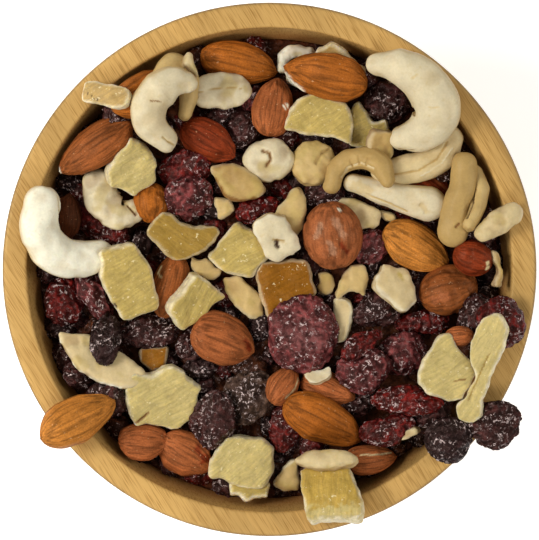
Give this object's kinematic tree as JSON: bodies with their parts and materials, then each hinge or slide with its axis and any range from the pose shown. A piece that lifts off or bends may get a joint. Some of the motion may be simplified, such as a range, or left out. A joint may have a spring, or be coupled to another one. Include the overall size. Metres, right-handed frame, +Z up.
{
  "type": "bowl of trail mix",
  "caption": "Turned bamboo bowl heaped with trail mix: almonds, hazelnuts, cashews, pale nuts, raisins, dried cranberries and pineapple.",
  "frame": {"origin": "centre of the bowl's flat base", "axes": "+Z up out of the bowl; +X to the right and +Y away, with the large pale cashew at the left rim"},
  "size_m": [0.1498, 0.1496, 0.0761],
  "materials": {
    "bamboo": "satin, straight grain",
    "dark_fruit": "wrinkled raisins, faint sheen",
    "almond_skin": "matte, finely ridged",
    "hazelnut_skin": "matte, mottled",
    "cashew_flesh": "matte",
    "nut_flesh": "matte",
    "cranberry_skin": "glossy, sugared",
    "pineapple_flesh": "translucent, sugared"
  },
  "bodies": {
    "root": {"bowl": "bamboo", "trail_mix": "dark_fruit"}
  },
  "joints": []
}
